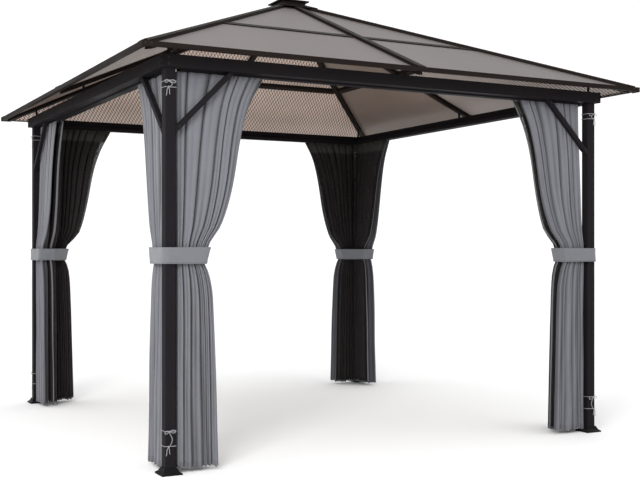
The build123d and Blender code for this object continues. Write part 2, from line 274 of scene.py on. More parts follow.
mottle = noise_node(weave_group, weave_in["Cloth place"], 14.0, detail=4)
weave_group.links.new(threads, weave_out["Threads"])
weave_group.links.new(hem_line, weave_out["Hem line"])
weave_group.links.new(mottle, weave_out["Mottle"])
print("weave group:", len(weave_group.nodes), "nodes")

# %% [markdown]
# ## Finishes
# Each finish is one Principled shader with its steady values set on its own sockets, and
# the groups feed what changes over the surface.

# %% Material helpers
def new_finish(name, roughness, specular):
    """A material with one Principled shader, its tree and that shader."""
    finish = bpy.data.materials.new(name)
    finish.use_nodes = True
    shader = finish.node_tree.nodes["Principled BSDF"]
    shader.inputs["Roughness"].default_value = roughness
    shader.inputs["Specular IOR Level"].default_value = specular
    return finish, finish.node_tree, shader


def place_group(tree, group, vector, **values):
    """Place a group on a vector and set its named inputs. Underscores stand for spaces."""
    node = tree.nodes.new("ShaderNodeGroup")
    node.node_tree = group
    tree.links.new(vector, node.inputs[0])
    for name, value in values.items():
        node.inputs[name.replace("_", " ")].default_value = value
    return node.outputs


def mix_colours(tree, mask, first, second):
    """First colour where the mask is 0, second where it is 1."""
    node = tree.nodes.new("ShaderNodeMix")
    node.data_type = "RGBA"
    tree.links.new(mask, node.inputs["Factor"])
    for number, value in ((6, first), (7, second)):  # the colour sockets A and B
        feed(tree, node.inputs[number], (*value, 1) if isinstance(value, tuple) else value)
    return node.outputs[2]


def add_bump(tree, shader, height, distance, strength):
    """A Bump node between a height and the shader's normal."""
    bump = tree.nodes.new("ShaderNodeBump")
    bump.inputs["Distance"].default_value = distance
    bump.inputs["Strength"].default_value = strength
    tree.links.new(height, bump.inputs["Height"])
    tree.links.new(bump.outputs["Normal"], shader.inputs["Normal"])


def object_place(tree):
    """The place on the object, in metres."""
    return tree.nodes.new("ShaderNodeTexCoord").outputs["Object"]


print("material helpers ready")

# %% Painted metal
COAT_SPECULAR = 0.02
DUST_SHARE = 0.35


def painted_metal(name, colour, cloud_colour, dust_colour, roughness):
    """Powder-coated metal with faint clouds, orange peel and a trace of dust on top."""
    finish, tree, shader = new_finish(name, roughness, specular=COAT_SPECULAR)
    coat = place_group(tree, coat_group, object_place(tree))
    cloudy = mix_colours(tree, coat["Cloud"], colour, cloud_colour)
    thin_dust = math_node(tree, "MULTIPLY", coat["Dust"], DUST_SHARE)
    dusty = mix_colours(tree, thin_dust, cloudy, dust_colour)
    tree.links.new(dusty, shader.inputs["Base Color"])
    rough = ramp_between(tree, coat["Cloud"], 0.3, 0.7, roughness - 0.05, roughness + 0.1)
    tree.links.new(rough, shader.inputs["Roughness"])
    add_bump(tree, shader, coat["Peel"], 0.0003, 0.35)
    return finish


# Each: colour, colour in the clouds, colour of the dust, roughness
frame_paint = painted_metal(
    "charcoal_powder_coat",
    (0.0098, 0.0084, 0.0098), (0.0145, 0.0128, 0.0143), (0.04, 0.037, 0.035), 0.5,
)
roof_paint = painted_metal(
    "brown_black_powder_coat",
    (0.0095, 0.0068, 0.0060), (0.0160, 0.0120, 0.0108), (0.045, 0.038, 0.033), 0.45,
)
foot_paint = painted_metal(
    "foot_cover_black",
    (0.006, 0.006, 0.0065), (0.010, 0.010, 0.011), (0.05, 0.047, 0.044), 0.42,
)
bolt_paint = painted_metal(
    "blackened_bolts",
    (0.018, 0.017, 0.017), (0.032, 0.030, 0.029), (0.08, 0.075, 0.07), 0.35,
)
bolt_paint.node_tree.nodes["Principled BSDF"].inputs["Metallic"].default_value = 0.6
print("painted finishes:", frame_paint.name, roof_paint.name, foot_paint.name, bolt_paint.name)

# %% [markdown]
# The sheets let some daylight through. From below that daylight is painted light: the
# sheets glow beige between the dark lines of the lattice, lighter and with darker lines
# on the slopes seen against the light, in painted shade on the others, while from above
# they look like plain warm grey plastic. The upper and the lower skin are told apart by
# which way the surface faces. A painted glow, light of the underside's own, stands for
# the daylight that comes through.

# %% Roof sheet
SHEET_TOP = (0.106, 0.091, 0.087)
SHEET_TOP_CLOUD = (0.134, 0.118, 0.113)
SHEET_DARK = (0.045, 0.034, 0.029)
# For each side: painted light or painted shade colour of the underside, how dark the lines are,
# rib share, painted glow
UNDERSIDE_PAINTED_LIGHT = {
    "front": ((0.78, 0.66, 0.58), 0.97, 0.0, 0.38),
    "right": ((0.175, 0.130, 0.106), 0.20, 0.6, 0.08),
    "back": ((0.68, 0.53, 0.45), 0.97, 0.35, 0.32),
    "left": ((0.175, 0.130, 0.106), 0.20, 0.6, 0.08),
}
# Painted light: the front halves of the right and left slopes, seen against the light, get a
# lighter colour and darker lines
PAINTED_LIT_HALF = ((0.56, 0.48, 0.44), 0.99)


def roof_sheet(side, angle):
    """Twin-wall sheet for the slope whose outward direction is turned by angle, with painted
    light and a painted glow on its underside.
    """
    light, contrast, rib_share, painted_glow_strength = UNDERSIDE_PAINTED_LIGHT[side]
    finish, tree, shader = new_finish(f"twin_wall_{side}", 0.45, specular=0.16)
    turn = tree.nodes.new("ShaderNodeMapping")
    turn.inputs["Rotation"].default_value = (0, 0, -math.radians(angle))
    tree.links.new(object_place(tree), turn.inputs["Vector"])
    sheet = place_group(tree, sheet_group, turn.outputs["Vector"])
    above = mix_colours(tree, sheet["Cloud"], SHEET_TOP, SHEET_TOP_CLOUD)
    gaps = math_node(tree, "SUBTRACT", sheet["Ribs"], sheet["Lattice"])
    weighted = math_node(tree, "MULTIPLY_ADD", gaps, rib_share, sheet["Lattice"])
    lines = math_node(tree, "SUBTRACT", 1.0, weighted)
    # Painted light on the front halves of the side slopes
    if side in ("right", "left"):
        half = math_node(tree, "LESS_THAN", split_axes(tree, object_place(tree))["Y"], 0.0)
        light = mix_colours(tree, half, light, PAINTED_LIT_HALF[0])
        contrast = math_node(tree, "MULTIPLY_ADD", half, PAINTED_LIT_HALF[1] - contrast, contrast)
    pattern = math_node(tree, "MULTIPLY", lines, contrast)
    below = mix_colours(tree, pattern, light, SHEET_DARK)
    shade = ramp_between(tree, sheet["Cloud"], 0.3, 0.7, 0.82, 1.0)
    cloudy = mix_colours(tree, shade, SHEET_DARK, below)
    facing = tree.nodes.new("ShaderNodeNewGeometry")
    upward = split_axes(tree, facing.outputs["Normal"])["Z"]
    underside = math_node(tree, "LESS_THAN", upward, 0.0)
    colour = mix_colours(tree, underside, above, cloudy)
    tree.links.new(colour, shader.inputs["Base Color"])
    # Painted glow: the underside's colour as emission, standing for daylight through the sheet
    glow = mix_colours(tree, underside, (0, 0, 0), cloudy)
    tree.links.new(glow, shader.inputs["Emission Color"])
    shader.inputs["Emission Strength"].default_value = painted_glow_strength
    add_bump(tree, shader, sheet["Ribs"], 0.0004, 0.25)
    return finish


SIDES = {"front": 0, "right": 90, "back": 180, "left": 270}
sheet_finishes = {side: roof_sheet(side, angle) for side, angle in SIDES.items()}
print("sheet finishes:", len(sheet_finishes))

# %% [markdown]
# The curtains are plain woven polyester in a cool mid grey. The netting is a knitted
# black mesh with a bound heading, and grey tape along its free edge and foot. Both read
# the cloth's own map, and the curtains also the depth of the fold, for painted shade in the
# creases.

# %% Cloth finishes
FLAT_HEIGHT = 1.89
CURTAIN_WIDTH = 1.27  # half of the opening between two posts
BAND_MAP = (0.89, 0.082)  # flat size that the band's weave is scaled for
# Painted shade in the creases: fold depths where it starts and where it is full, and its strength
CREASE_FROM, CREASE_TO, PAINTED_CREASE_SHADE = 0.04, 0.36, 0.80


def cloth_map(tree, width, height):
    """The cloth's own map, in metres of flat cloth."""
    source = tree.nodes.new("ShaderNodeUVMap")
    source.uv_map = "cloth_map"
    scale = tree.nodes.new("ShaderNodeMapping")
    scale.inputs["Scale"].default_value = (width, height, 1)
    tree.links.new(source.outputs["UV"], scale.inputs["Vector"])
    return scale.outputs["Vector"]


def woven_grey(name, colour, mottle_colour, flat, hem):
    """Woven cloth with threads, a faint mottle, stitched hems and painted shade in the creases.
    """
    finish, tree, shader = new_finish(name, 0.85, specular=0.25)
    shader.inputs["Sheen Weight"].default_value = 0.25
    shader.inputs["Sheen Roughness"].default_value = 0.5
    weave = place_group(tree, weave_group, cloth_map(tree, *flat), Width=flat[0], Hem=hem)
    ground = mix_colours(tree, weave["Mottle"], colour, mottle_colour)
    dark_line = math_node(tree, "MULTIPLY", weave["Hem line"], 0.45)
    stitched = mix_colours(tree, dark_line, ground, tuple(0.45 * c for c in colour))
    # Painted shade: the colour is darkened where the fold is deep
    fold = tree.nodes.new("ShaderNodeAttribute")
    fold.attribute_name = "fold_depth"
    crease = ramp_between(
        tree, fold.outputs["Fac"], CREASE_FROM, CREASE_TO, end=PAINTED_CREASE_SHADE
    )
    with_crease_shade = mix_colours(tree, crease, stitched, tuple(0.30 * c for c in colour))
    tree.links.new(with_crease_shade, shader.inputs["Base Color"])
    lift = math_node(tree, "SUBTRACT", weave["Threads"], weave["Hem line"])
    add_bump(tree, shader, lift, 0.0003, 0.5)
    return finish


curtain_cloth = woven_grey(
    "grey_curtain_cloth",
    (0.120, 0.121, 0.138), (0.150, 0.152, 0.171), (CURTAIN_WIDTH, FLAT_HEIGHT), 0.025,
)
band_cloth = woven_grey(
    "grey_band_cloth", (0.118, 0.121, 0.134), (0.141, 0.145, 0.159), BAND_MAP, 0.006
)
print("cloth finishes:", curtain_cloth.name, band_cloth.name)

# %% Netting finish
# Fine open cells, with tape on the free edge and foot, and a bound heading at the top
MESH_PITCH = 0.0016
TAPE_WIDTH = 0.010
HEADING_FOOT = FLAT_HEIGHT - 0.070

netting_mesh, tree, shader = new_finish("black_insect_mesh", 0.7, specular=0.2)
flat = cloth_map(tree, CURTAIN_WIDTH, FLAT_HEIGHT)
axes = split_axes(tree, flat)
cells = []
for axis in ("X", "Y"):
    turns = math_node(tree, "DIVIDE", axes[axis], MESH_PITCH)
    wave = math_node(tree, "PINGPONG", turns, 0.5)
    cells.append(ramp_between(tree, wave, 0.24, 0.30))
hole = math_node(tree, "MULTIPLY", *cells)
from_far = math_node(tree, "SUBTRACT", CURTAIN_WIDTH, axes["X"])
edge = math_node(tree, "MINIMUM", from_far, axes["Y"])
tape = ramp_between(tree, edge, TAPE_WIDTH, TAPE_WIDTH + 0.002, start=1.0, end=0.0)
heading = ramp_between(tree, axes["Y"], HEADING_FOOT - 0.015, HEADING_FOOT)
black = mix_colours(
    tree, noise_node(tree, flat, 9.0), (0.010, 0.008, 0.008), (0.019, 0.016, 0.016)
)
headed = mix_colours(tree, heading, black, (0.034, 0.033, 0.031))
colour = mix_colours(tree, tape, headed, (0.115, 0.117, 0.125))
tree.links.new(colour, shader.inputs["Base Color"])
open_mesh = math_node(tree, "SUBTRACT", 1.0, math_node(tree, "MULTIPLY", hole, 0.85))
bound = math_node(tree, "MAXIMUM", tape, heading)
alpha = math_node(tree, "MAXIMUM", open_mesh, bound)
tree.links.new(alpha, shader.inputs["Alpha"])
add_bump(tree, shader, hole, 0.0002, 0.4)
print("netting finish:", netting_mesh.name)

# %% Cord finish
# Thin laid cord: slanting strands, drawn from the place on the object
STRAND_PITCH = 0.0016

tie_cord_finish, tree, shader = new_finish("pale_tie_cord", 0.75, specular=0.3)
axes = split_axes(tree, object_place(tree))
slant = math_node(tree, "ADD", math_node(tree, "ADD", axes["X"], axes["Y"]), axes["Z"])
wave = math_node(tree, "PINGPONG", math_node(tree, "DIVIDE", slant, STRAND_PITCH), 0.5)
strands = ramp_between(tree, wave, 0.05, 0.4)
colour = mix_colours(tree, strands, (0.21, 0.21, 0.22), (0.36, 0.36, 0.37))
tree.links.new(colour, shader.inputs["Base Color"])
add_bump(tree, shader, strands, 0.0003, 0.6)
print("cord finish:", tie_cord_finish.name)

# %% [markdown]
# ## Dress the metal frame
# The posts, beams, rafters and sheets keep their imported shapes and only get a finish.

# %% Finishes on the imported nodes
ROOF_STARTS = ("eave_", "hip_rafter_", "middle_rafter_", "purlins", "peak_", "top_cap")
SOFT_STARTS = ("curtain_", "netting_", "tie_bands", "string_ties")
for node_name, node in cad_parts.items():
    if node_name.startswith("roof_panels_"):
        finish = sheet_finishes[node_name.removeprefix("roof_panels_")]
    elif node_name == "foot_covers":
        finish = foot_paint
    elif node_name.startswith(ROOF_STARTS):
        finish = roof_paint
    elif node_name == "curtain_tracks" or not node_name.startswith(SOFT_STARTS):
        finish = frame_paint
    else:
        continue  # cloth and ties are replaced by pieces made below
    node.data.materials.clear()
    node.data.materials.append(finish)
print("dressed nodes:", sum(1 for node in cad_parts.values() if node.data.materials))

# %% Piece helpers
CORNERS = {
    "front_left": (-1, -1),
    "front_right": (1, -1),
    "back_right": (1, 1),
    "back_left": (-1, 1),
}
HALF_PITCH = 1.3  # plan centre to a post's centre


def only(piece):
    """Select one object alone and make it active."""
    bpy.ops.object.select_all(action="DESELECT")
    piece.select_set(True)
    bpy.context.view_layer.objects.active = piece


def settle(piece, finish):
    """Bake the piece's place into its mesh, give it a finish and let it ride on the frame."""
    only(piece)
    bpy.ops.object.transform_apply(location=True, rotation=True, scale=True)
    piece.data.materials.clear()
    piece.data.materials.append(finish)
    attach(piece, "root")


print("piece helpers ready")

# %% [markdown]
# ## Hanging cloth
# A gathered curtain is a flat sheet pushed into pleats. Each pleat shows one broad,
# gently rounded face, and the spare cloth is tucked away behind it, so from outside the
# curtain is broad bands parted by narrow dark creases. The same pleats run from top to
# foot: wide under the track, squeezed in the tie-back band, a little wider at the hem.
# A grid is a good start, because each column of it can follow one thread of the cloth.

# %% One pleat
# Points of a pleat seen from above: along the beam in pleat widths, and inwards from the
# outer face in shares of the depth.
PLEAT_ALONG, PLEAT_INWARD = np.array([
    (0.03, 0.30), (0.11, 0.12), (0.34, 0.00), (0.66, 0.02), (0.89, 0.14), (0.97, 0.32),
    (0.93, 0.47), (0.58, 0.54), (0.18, 0.68), (0.24, 0.88), (0.70, 0.96), (1.01, 0.82),
    (1.05, 0.54),
]).T
TUCK_ALONG, TUCK_INWARD = (0.0, 0.0), (0.96, 0.60)  # the near edge is turned in
NOMINAL_PLEAT = (0.055, 0.035)  # width and depth that the threads are spaced for


def pleated_edge(pleats, columns, dice):
    """The sheet's section: place along, in pleats, and inward share, for each column."""
    along, inward = [TUCK_ALONG], [TUCK_INWARD]
    for pleat in range(pleats):
        points = 6 if pleat == pleats - 1 else len(PLEAT_ALONG)
        shift = dice.uniform(-0.035, 0.035, len(PLEAT_ALONG))
        lift = dice.uniform(-0.04, 0.04, len(PLEAT_ALONG))
        shift[[0, 5, 12]] = 0
        along.append(pleat + (PLEAT_ALONG + shift)[:points])
        inward.append(np.clip(PLEAT_INWARD + lift, 0, 1)[:points])
    along, inward = np.concatenate(along), np.concatenate(inward)
    width, depth = NOMINAL_PLEAT
    runs = np.hypot(np.diff(along) * width, np.diff(inward) * depth)
    lengths = np.concatenate([[0], np.cumsum(runs)])
    place = np.interp(np.linspace(0, lengths[-1], columns), lengths, np.arange(len(along)))
    first = np.clip(place.astype(int), 0, len(along) - 2)
    part = place - first
    curves = []
    for values in (along, inward):
        ends = [2 * values[0] - values[1]], [2 * values[-1] - values[-2]]
        padded = np.concatenate([ends[0], values, ends[1]])
        a, b, c, d = (padded[first + step] for step in range(4))
        bend = 2 * a - 5 * b + 4 * c - d + part * (3 * (b - c) + d - a)
        curves.append(b + 0.5 * part * (c - a + part * bend))
    return curves


def smooth_curve(heights, values, wanted):
    """Monotone cubic through a table, so a pinched place stays pinched."""
    x, y = heights[::-1], values[::-1]  # the tables run from the top down
    step = np.diff(x)
    slope = np.diff(y) / step
    tangent = np.zeros_like(y)
    same_way = slope[:-1] * slope[1:] > 0
    total = slope[:-1] + slope[1:]
    harmonic = 2 * slope[:-1] * slope[1:] / np.where(total == 0, 1, total)
    tangent[1:-1] = np.where(same_way, harmonic, 0)
    tangent[0], tangent[-1] = slope[0], slope[-1]
    place = np.clip(np.searchsorted(x, wanted) - 1, 0, len(step) - 1)
    t = (wanted - x[place]) / step[place]
    low, high, width = y[place], y[place + 1], step[place]
    return (
        low * (2 * t**3 - 3 * t**2 + 1)
        + width * tangent[place] * (t**3 - 2 * t**2 + t)
        + high * (3 * t**2 - 2 * t**3)
        + width * tangent[place + 1] * (t**3 - t**2)
    )


sample_along, sample_inward = pleated_edge(2, 9, np.random.default_rng(1))
print("pleat section:", [(round(a, 2), round(b, 2)) for a, b in zip(sample_along, sample_inward)])

# %% Cloth outlines
# Each row: height, near and far reach along the beam, outer and inner depth, in metres
# from the post's centre.
CURTAIN_ROWS = np.array([
    (1.902, 0.062, 0.492, 0.009, 0.032),
    (1.760, 0.060, 0.424, 0.009, 0.034),
    (1.620, 0.056, 0.386, 0.007, 0.036),
    (1.350, 0.046, 0.336, 0.003, 0.038),
    (1.180, 0.044, 0.278, -0.005, 0.038),
    (1.072, 0.042, 0.203, -0.015, 0.038),
    (1.030, 0.042, 0.194, -0.015, 0.038),
    (0.986, 0.042, 0.182, -0.015, 0.038),
    (0.950, 0.042, 0.205, -0.015, 0.038),
    (0.820, 0.042, 0.230, -0.015, 0.038),
    (0.015, 0.042, 0.255, -0.017, 0.038),
])
NETTING_ROWS = np.array([
    (1.902, 0.074, 0.518, 0.044, 0.065),
    (1.760, 0.080, 0.440, 0.044, 0.074),
    (1.620, 0.084, 0.392, 0.044, 0.079),
    (1.350, 0.090, 0.336, 0.044, 0.084),
    (1.180, 0.094, 0.284, 0.044, 0.087),
    (1.072, 0.094, 0.190, 0.044, 0.087),
    (0.986, 0.094, 0.175, 0.044, 0.087),
    (0.950, 0.094, 0.204, 0.044, 0.087),
    (0.820, 0.094, 0.220, 0.044, 0.087),
    (0.015, 0.094, 0.246, 0.044, 0.089),
])
CLOSEST_REACH = 0.041  # where a curtain hangs right beside its post
CURTAIN_PLEATS = (1.3, 1.9, 2.1, 0.6, 0.95, 1.25)
NETTING_PLEATS = (1.3, 1.0, 1.2, 0.7, 1.0, 0.8, 1.1, 0.9)
print("outline rows:", len(CURTAIN_ROWS), len(NETTING_ROWS))

# %% A hanging cloth
def hanging_cloth(name, rows, corner, along_x, pleats, columns, levels, seed, mixed):
    """One half curtain beside the post at the corner, made from a grid."""
    dice = np.random.default_rng(seed)
    bpy.ops.object.select_all(action="DESELECT")
    bpy.ops.mesh.primitive_grid_add(x_subdivisions=columns, y_subdivisions=levels, size=2)
    cloth = bpy.context.active_object
    cloth.name = name
    cloth.data.uv_layers[0].name = "cloth_map"
    flat = np.empty(len(cloth.data.vertices) * 3)
    cloth.data.vertices.foreach_get("co", flat)
    column = np.rint((flat[0::3] + 1) / 2 * columns).astype(int)
    level = np.rint((flat[1::3] + 1) / 2 * levels).astype(int)
    along, inward = pleated_edge(len(pleats), columns + 1, dice)
    height = np.linspace(rows[-1, 0], rows[0, 0], levels + 1)
    near, far, outer, inner = (smooth_curve(rows[:, 0], rows[:, k], height) for k in range(1, 5))
    widths = np.array(pleats) * dice.uniform(0.85, 1.15, len(pleats))
    if mixed:
        widths[1:] = dice.permutation(widths[1:])
    phase = dice.uniform(0, 6, (3, len(pleats)))
    reach = np.empty((levels + 1, columns + 1))
    depth = np.empty_like(reach)
    fold = np.empty_like(reach)
    steps = np.arange(len(pleats) + 1)
    for row, z in enumerate(height):
        drift = 1 + 0.16 * np.sin(2.3 * z + phase[0]) + 0.05 * np.sin(7.1 * z + phase[1])
        edges = np.concatenate([[0], np.cumsum(widths * drift)])
        share = np.interp(along, steps, edges / edges[-1])
        reach[row] = near[row] + (far[row] - near[row]) * share
        sink = 0.07 * (1 + np.sin(1.9 * z + phase[2]))
        sunk = np.interp(along, steps[:-1] + 0.5, sink)
        swell = np.sin(12.5 * along + phase[0][1] + 0.9 * np.sin(2.6 * z + phase[1][1]))
        ripple = (0.11 * swell + 0.03 * np.sin(11 * z + 3.1 * along)) * (1 - inward)
        fold[row] = np.clip(sunk + (1 - sunk) * inward + ripple, 0, 1)
        depth[row] = outer[row] + (inner[row] - outer[row]) * fold[row]
    hem = np.clip(1 - np.arange(levels + 1) * 8 / levels, 0, 1)
    wave = 0.007 + 0.004 * np.sin(1.7 * along + phase[0][0]) + 0.003 * np.cos(6.3 * along)
    placed_height = height[level] + hem[level] * wave[column]
    sx, sy = corner
    first, second = HALF_PITCH - reach[level, column], HALF_PITCH - depth[level, column]
    east, north = (first, second) if along_x else (second, first)
    placed = np.column_stack([sx * east, sy * north, placed_height])
    cloth.data.vertices.foreach_set("co", placed.ravel())
    fold_depth = cloth.data.attributes.new("fold_depth", "FLOAT", "POINT")
    fold_depth.data.foreach_set("value", fold[level, column])
    cloth.data.update()
    return cloth


def edit_all(operator, **settings):
    """Use a mesh operator on the whole of the active object."""
    bpy.ops.object.mode_set(mode="EDIT")
    bpy.ops.mesh.select_all(action="SELECT")
    operator(**settings)
    bpy.ops.object.mode_set(mode="OBJECT")


def thicken(cloth, thickness):
    """Give the cloth its thickness and turn its faces outwards."""
    only(cloth)
    solid = cloth.modifiers.new("thickness", "SOLIDIFY")
    solid.thickness = thickness
    solid.offset = 0
    bpy.ops.object.modifier_apply(modifier="thickness")
    edit_all(bpy.ops.mesh.normals_make_consistent, inside=False)
    bpy.ops.object.shade_smooth()


print("cloth maker ready")

# %% Both halves at a corner
# For each kind of cloth: pleats, columns and levels of the grid, thickness, finish, slot,
# first seed
CLOTHS = {
    "curtain": (CURTAIN_PLEATS, 200, 56, 0.0009, curtain_cloth, "curtain_cloth", 100),
    "netting": (NETTING_PLEATS, 200, 42, 0.0005, netting_mesh, "netting_mesh", 300),
}


def hang(kind, number, corner_name, rows, mixed):
    """Both halves of a cloth at one corner, one along each side."""
    pleats, columns, levels, thickness, finish, slot_name, first_seed = CLOTHS[kind]
    for run in ("x", "y"):
        along_x = run == "x"
        seed = first_seed + 10 * number + int(along_x)
        cloth = hanging_cloth(
            f"{kind}_{corner_name}_{run}", rows, CORNERS[corner_name], along_x,
            pleats, columns, levels, seed, mixed,
        )
        thicken(cloth, thickness)
        settle(cloth, finish)
        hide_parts(f"{kind}_{corner_name}")
        print(cloth.name, len(cloth.data.polygons), "faces")


# %% Hang the curtains
for number, corner_name in enumerate(CORNERS):
    rows = CURTAIN_ROWS.copy()
    nearest = corner_name == "front_left"
    if nearest:
        rows[:, 1] = CLOSEST_REACH
    hang("curtain", number, corner_name, rows, mixed=not nearest)

# %% Hang the netting
for number, corner_name in enumerate(CORNERS):
    hang("netting", number, corner_name, NETTING_ROWS, mixed=True)

# %% [markdown]
# ## Tie-back bands
# Each band is one long strap of the curtain cloth with its edges folded and stitched. It
# goes round the post and both bunches of cloth, and slackens at the post's outer corner.
# Its lower edge is drawn tighter than its upper edge, so the far ends slope inwards.

# %% Band path
BAND_CORNERS = np.array([
    (-0.0395, -0.0395), (0.2095, -0.0297), (0.2095, 0.081), (0.081, 0.2095), (-0.0297, 0.2095)
])
BAND_ROUNDING = (0.040, 0.022, 0.017, 0.017, 0.022)
BAND_FOOT = 0.9895
BAND_HEIGHT = 0.079
BAND_TAPER = 0.020  # how much closer the far ends stand at the lower edge
BAND_THICKNESS = 0.0028


def arc(start, corner, end, t):
    """Points of a parabola from start to end, drawn towards the corner, at the shares t."""
    t = t[:, None]
    return (1 - t) ** 2 * start + 2 * t * (1 - t) * corner + t**2 * end


def rounded_loop(points, radii, arc_steps, side_steps):
    """A closed path through the points with rounded corners, in even small steps."""
    path = []
    for place, corner in enumerate(points):
        following = (place + 1) % len(points)
        before, after = points[place - 1] - corner, points[following] - corner
        ahead = after / np.linalg.norm(after)
        start = corner + before / np.linalg.norm(before) * radii[place]
        end, leave = corner + ahead * radii[place], points[following] - ahead * radii[following]
        path.append(arc(start, corner, end, np.linspace(0, 1, arc_steps, endpoint=False)))
        path.append(np.linspace(end, leave, side_steps, endpoint=False))
    return np.concatenate(path)


band_path = rounded_loop(BAND_CORNERS, BAND_ROUNDING, 9, 22)

# %% A tie-back band
BAND_LEVELS = 10


def tie_band(name, corner, seed):
    """A stitched strap round the post and the cloth at the corner."""
    dice = np.random.default_rng(seed)
    ahead = np.roll(band_path, -1, axis=0) - np.roll(band_path, 1, axis=0)
    outward = np.column_stack([ahead[:, 1], -ahead[:, 0]])
    outward /= np.linalg.norm(outward, axis=1)[:, None]
    count = len(band_path)
    turn = np.arange(count) / count * 2 * math.pi
    near_corner = np.exp(-(np.linalg.norm(band_path + 0.04, axis=1) / 0.05) ** 2)
    swings = dice.uniform(0, 2 * math.pi, 4)
    sx, sy = corner
    vertices = []
    for level in range(BAND_LEVELS + 1):
        t = level / BAND_LEVELS
        folded_edge = 0.0006 if level in (0, 1, BAND_LEVELS - 1, BAND_LEVELS) else 0.0
        crease = np.sin(9 * turn + swings[0] + 2.4 * t) * (0.0006 + 0.0010 * near_corner)
        slack = 0.0009 * np.sin(4 * turn + swings[1]) * math.sin(math.pi * t)
        moved = band_path + outward * (folded_edge + crease + slack - 0.0012)[:, None]
        far = np.clip((moved - 0.10) / 0.10, 0, 1)
        moved = moved - BAND_TAPER * (1 - t) * far**2 * (3 - 2 * far)
        z = BAND_FOOT + BAND_HEIGHT * t + 0.0012 * np.sin(3 * turn + swings[2]) * (t - 0.5)
        east, north = sx * (HALF_PITCH - moved[:, 0]), sy * (HALF_PITCH - moved[:, 1])
        vertices.extend(np.column_stack([east, north, z]).tolist())
    square = ((0, 0), (1, 0), (1, 1), (0, 1))
    cells = [(place, level) for level in range(BAND_LEVELS) for place in range(count)]
    faces = [
        [(level + up) * count + (place + across) % count for across, up in square]
        for place, level in cells
    ]
    mesh = bpy.data.meshes.new(name)
    mesh.from_pydata(vertices, [], faces)
    layer = mesh.uv_layers.new(name="cloth_map")
    for polygon, (place, level) in zip(mesh.polygons, cells):
        for loop, (across, up) in zip(polygon.loop_indices, square):
            layer.data[loop].uv = ((place + across) / count, (level + up) / BAND_LEVELS)
    return new_object(name, mesh)


for number, (corner_name, corner) in enumerate(CORNERS.items()):
    band = tie_band(f"tie_band_{corner_name}", corner, 500 + number)
    thicken(band, BAND_THICKNESS)
    settle(band, band_cloth)
    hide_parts("tie_bands")
print("bands:", len(CORNERS))

# %% [markdown]
# ## String ties
# Thin pale cord is looped round each post twice at the top and twice near the foot, and
# tied in a small bow on the post's outer corner. The loops and the bows lie against the
# post, and the loose ends hang down from the knots.

# %% Rings, bows and knots
CORD_RADIUS = 0.0015
RING_HALF = 0.0285
RING_PAIRS = {"top": (1.848, 1.820), "foot": (0.205, 0.135)}
KNOT_SIDE = 0.011  # from the post's centre towards its outer corner
KNOT_OUT = 0.0315


def cord_curve(name, points, closed, steps):
    """A round cord through the points, as a curve with so many steps a span."""
    curve = bpy.data.curves.new(name, "CURVE")
    curve.dimensions = "3D"
    curve.bevel_depth = CORD_RADIUS
    curve.bevel_resolution = 2
    curve.use_fill_caps = not closed
    spline = curve.splines.new("NURBS")
    spline.points.add(len(points) - 1)
    for knot, point in zip(spline.points, points):
        knot.co = (*point, 1)
    spline.order_u = 3
    spline.use_cyclic_u = closed
    spline.use_endpoint_u = not closed
    spline.resolution_u = steps
    return new_object(name, curve)


def cord_mesh(name, points, closed):
    """A round cord through the points, as a mesh."""
    only(cord_curve(name, points, closed, steps=4))
    bpy.ops.object.convert(target="MESH")
    bpy.ops.object.shade_smooth()
    return bpy.context.active_object


def join_as(pieces, name):
    """Join the pieces into one object with a new name."""
    bpy.ops.object.select_all(action="DESELECT")
    for piece in pieces:
        piece.select_set(True)
    bpy.context.view_layer.objects.active = pieces[0]
    bpy.ops.object.join()
    joined = bpy.context.active_object
    joined.name = name
    return joined


def ring_points(corner, height, dice):
    """A slightly uneven square loop round a post."""
    sx, sy = corner
    points = []
    for side_x, side_y in CORNERS.values():
        for lean_x, lean_y in ((0.62, 1.0), (1.0, 1.0), (1.0, 0.62)):
            if side_x * side_y > 0:
                lean_x, lean_y = lean_y, lean_x
            east = sx * HALF_PITCH + side_x * lean_x * RING_HALF
            north = sy * HALF_PITCH + side_y * lean_y * RING_HALF
            points.append((east, north, height + dice.uniform(-0.0012, 0.0012)))
    return points


def on_face(corner, height, shape):
    """Points on the post's outer face, from (side, out, rise). Side runs to its outer corner."""
    sx, sy = corner
    return [
        (sx * (HALF_PITCH + KNOT_SIDE + side), sy * (HALF_PITCH + KNOT_OUT + out), height + rise)
        for side, out, rise in shape
    ]


KNOT = ((-0.003, 0.0, 0.0), (0.0, 0.0025, 0.003), (0.003, 0.0, 0.0), (0.0, 0.002, -0.003))
BOW_EAR = (
    (0.0, 0.0), (0.009, 0.005), (0.022, 0.007), (0.029, -0.002), (0.019, -0.009), (0.006, -0.004)
)
CROSS_STRAND = ((0.002, 0.0), (-0.012, 0.3), (-0.020, 0.65), (-0.004, 1.0))

